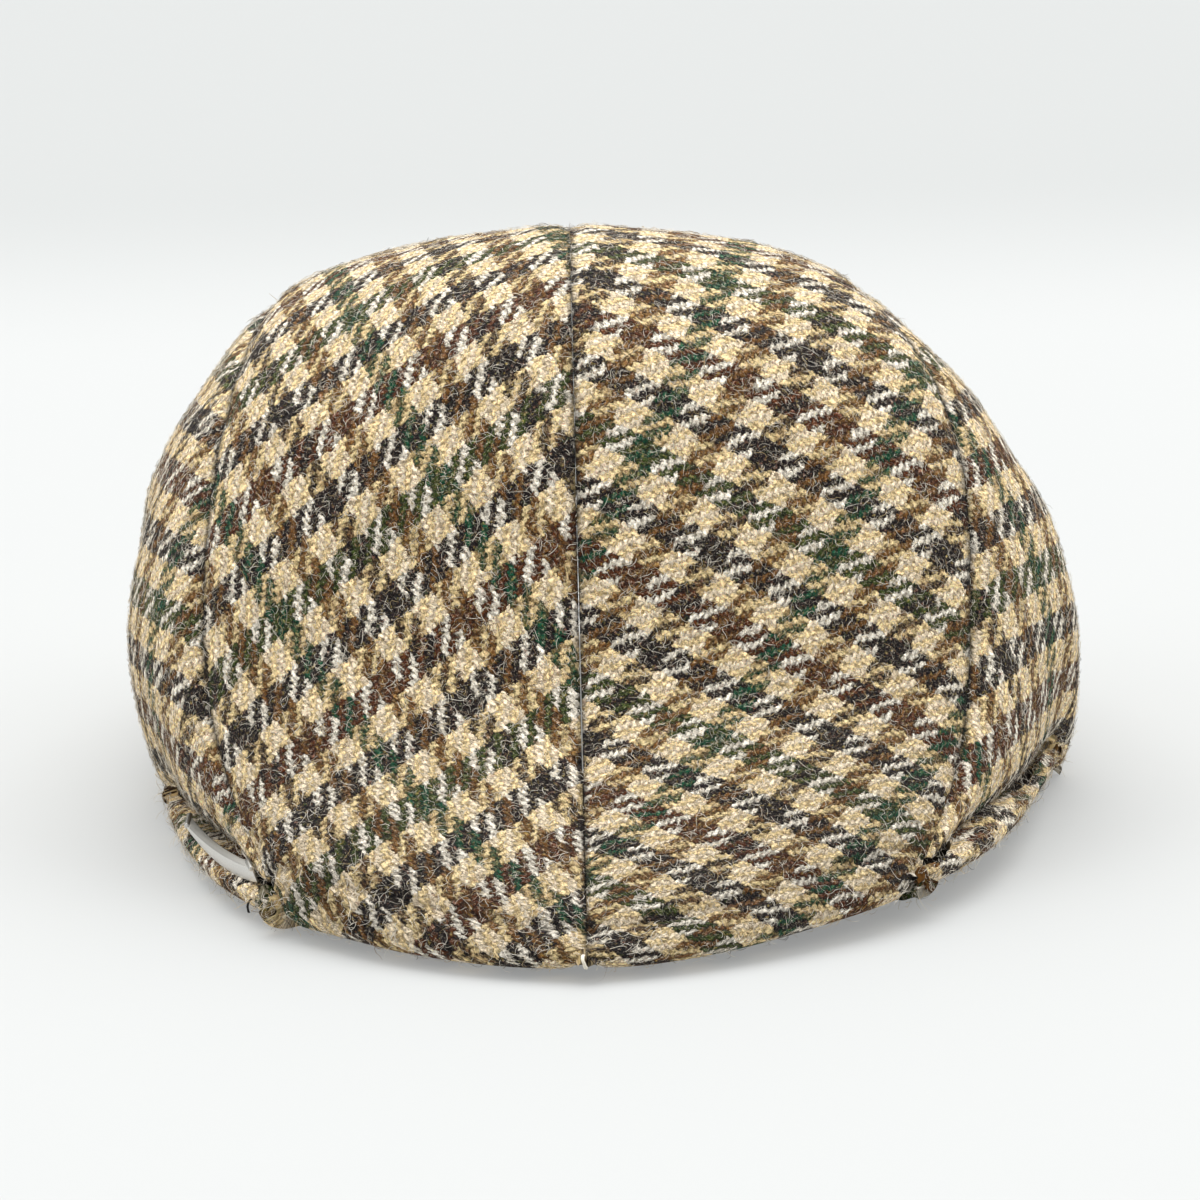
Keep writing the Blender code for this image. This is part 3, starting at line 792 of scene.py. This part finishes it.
# Two cut thread ends
# A pale one stands out where the centre seam meets the front edge, and a short black one hangs
# from the left strip of cloth.
THREAD_RADIUS = {"pale_thread_end": 0.00034, "dark_thread_end": 0.00024}
THREAD_ENDS = {
    "pale_thread_end": ((-0.0055, -0.1330, 0.0060), (-0.0056, -0.1348, 0.0056), (-0.0050, -0.1350, 0.0040)),
    "dark_thread_end": ((-0.0684, -0.0922, 0.0052), (-0.0691, -0.0935, 0.0045), (-0.0689, -0.0938, 0.0030)),
}
THREAD_COLOURS = {"pale_thread_end": (0.80, 0.74, 0.62), "dark_thread_end": (0.02, 0.018, 0.018)}
for name, points in THREAD_ENDS.items():
    bpy.ops.object.select_all(action="DESELECT")
    bpy.ops.mesh.primitive_cylinder_add(vertices=10, radius=THREAD_RADIUS[name], depth=1.0)
    thread = bpy.context.object
    thread.name = name
    edit(thread, lambda: bpy.ops.mesh.select_all(action="SELECT"))
    choose(thread.data, edges=[edge.index for edge in thread.data.edges
                               if abs(thread.data.vertices[edge.vertices[0]].co.z
                                      - thread.data.vertices[edge.vertices[1]].co.z) > 0.5])
    edit(thread, lambda: bpy.ops.mesh.subdivide(number_cuts=11))
    for corner in thread.data.vertices:
        share = corner.co.z + 0.5
        fray = 1.0 + 0.5 * share * mathutils.noise.noise(corner.co * 4000.0)
        corner.co = through(points, share) + Vector((corner.co.x, corner.co.y, 0.0)) * fray
    thread.data.materials.append(fabric(name)[0])
    shade = thread.data.materials[0].node_tree.nodes["Principled BSDF"]
    shade.inputs["Base Color"].default_value = coloured(THREAD_COLOURS[name])
    thread.data.shade_smooth()
    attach(thread, "root")


# The studio
# A pale flat floor, lit from large soft lights.
CAMERA_RISE = math.radians(16.0)
CAMERA_DISTANCE = 0.95
CAMERA_TARGET = Vector((-0.0048, 0.0139, 0.0))
FRAME_PIXELS = 1200
FOCAL_PIXELS = 4436
TARGET_PIXEL = (578, 763)
CAMERA_ROLL = math.radians(1.3)
SENSOR = 36.0
PAPER_NEAR = (0.366, 0.372, 0.369)
PAPER_FAR = (0.294, 0.302, 0.299)
PAPER_GLOW = 0.28
PAPER_FADE = (0.48, 0.85)
AIR_STRENGTH = 0.36
LIGHTS = {
    "overhead_light": ((-0.03, 0.58, 1.0), 3.3, math.radians(70.0)),
    "left_light": ((-1.0, 0.15, 0.75), 1.0, math.radians(60.0)),
    "right_light": ((1.0, 0.15, 0.75), 1.0, math.radians(60.0)),
    "front_light": ((0.05, -0.35, 1.0), 0.45, math.radians(60.0)),
}

for leftover in ("Cube", "Camera", "Light"):
    if leftover in bpy.data.objects:
        bpy.data.objects.remove(bpy.data.objects[leftover])

bpy.ops.mesh.primitive_plane_add(size=8.0, location=(0.0, 0.0, -0.0002))
floor = bpy.context.object
floor.name = "floor"
paper, shader, wire = fabric("pale_paper", 0.9, 0.0)
way_back = wire.node("ShaderNodeTexCoord", output=3).part(1)
# Painted shade: the floor turns greyer towards the back, standing in for a dimmer backdrop
tone = way_back.between(PAPER_FADE[0], PAPER_FADE[1]).blend(coloured(PAPER_NEAR), coloured(PAPER_FAR))
wire.tree.links.new(tone.socket, shader.inputs["Base Color"])
# Painted light: the floor glows a little of its own, which lightens the cap's shadows on it
shader.inputs["Emission Color"].default_value = coloured((0.985, 1.0, 0.995))
shader.inputs["Emission Strength"].default_value = PAPER_GLOW
floor.data.materials.append(paper)

bpy.context.scene.view_settings.view_transform = "Standard"
world = bpy.data.worlds.new("studio_air")
bpy.context.scene.world = world
world.use_nodes = True
world.node_tree.nodes["Background"].inputs["Color"].default_value = coloured((0.985, 1.0, 0.995))
world.node_tree.nodes["Background"].inputs["Strength"].default_value = AIR_STRENGTH

for name, (place, strength, spread) in LIGHTS.items():
    light = bpy.data.lights.new(name, "SUN")
    light.energy = strength
    light.angle = spread
    lamp = bpy.data.objects.new(name, light)
    lamp.rotation_euler = (-Vector(place)).to_track_quat("-Z", "Y").to_euler()
    bpy.context.scene.collection.objects.link(lamp)

camera_data = bpy.data.cameras.new("camera")
camera = bpy.data.objects.new("camera", camera_data)
bpy.context.scene.collection.objects.link(camera)
bpy.context.scene.camera = camera
camera_data.sensor_width = SENSOR
camera_data.lens = FOCAL_PIXELS / FRAME_PIXELS * SENSOR
back = Vector((0.0, -math.cos(CAMERA_RISE), math.sin(CAMERA_RISE)))
camera.location = CAMERA_TARGET + back * CAMERA_DISTANCE
right_shift = math.atan((TARGET_PIXEL[0] - FRAME_PIXELS / 2) / FOCAL_PIXELS)
down_shift = math.atan((TARGET_PIXEL[1] - FRAME_PIXELS / 2) / FOCAL_PIXELS)
look = (Matrix.Rotation(right_shift, 4, "Z") @ Matrix.Rotation(math.pi / 2 - CAMERA_RISE + down_shift, 4, "X")
        @ Matrix.Rotation(-CAMERA_ROLL, 4, "Z"))
camera.rotation_euler = look.to_euler()
